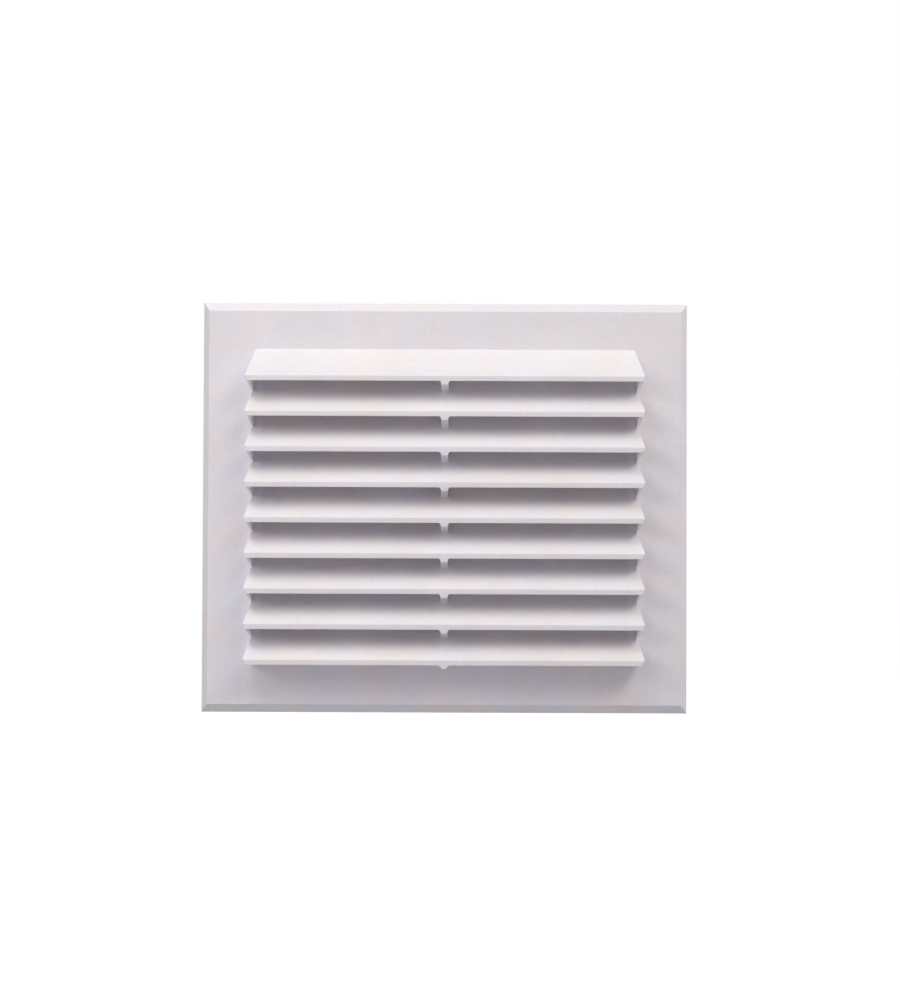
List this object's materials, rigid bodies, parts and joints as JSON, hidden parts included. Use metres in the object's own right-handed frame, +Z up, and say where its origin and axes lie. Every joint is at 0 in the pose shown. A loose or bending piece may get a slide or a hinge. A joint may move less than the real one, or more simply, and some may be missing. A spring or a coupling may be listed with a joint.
{
  "type": "louvre vent grille",
  "caption": "Flat wall grille for ventilation: a bevelled rectangular plate with a bank of sloping, hooded louvres that shed rain, moulded in one piece with a web down the middle.",
  "frame": {"origin": "centre of the flat back face, on the wall plane", "axes": "+Z up the wall, +X to the right as seen from the front, +Y into the wall; the louvres face -Y"},
  "size_m": [0.155, 0.0124, 0.131],
  "materials": {
    "moulding": "white moulded plastic with a soft satin sheen and a very fine grain, slightly uneven"
  },
  "bodies": {
    "root": {"grille": "moulding"}
  },
  "joints": []
}
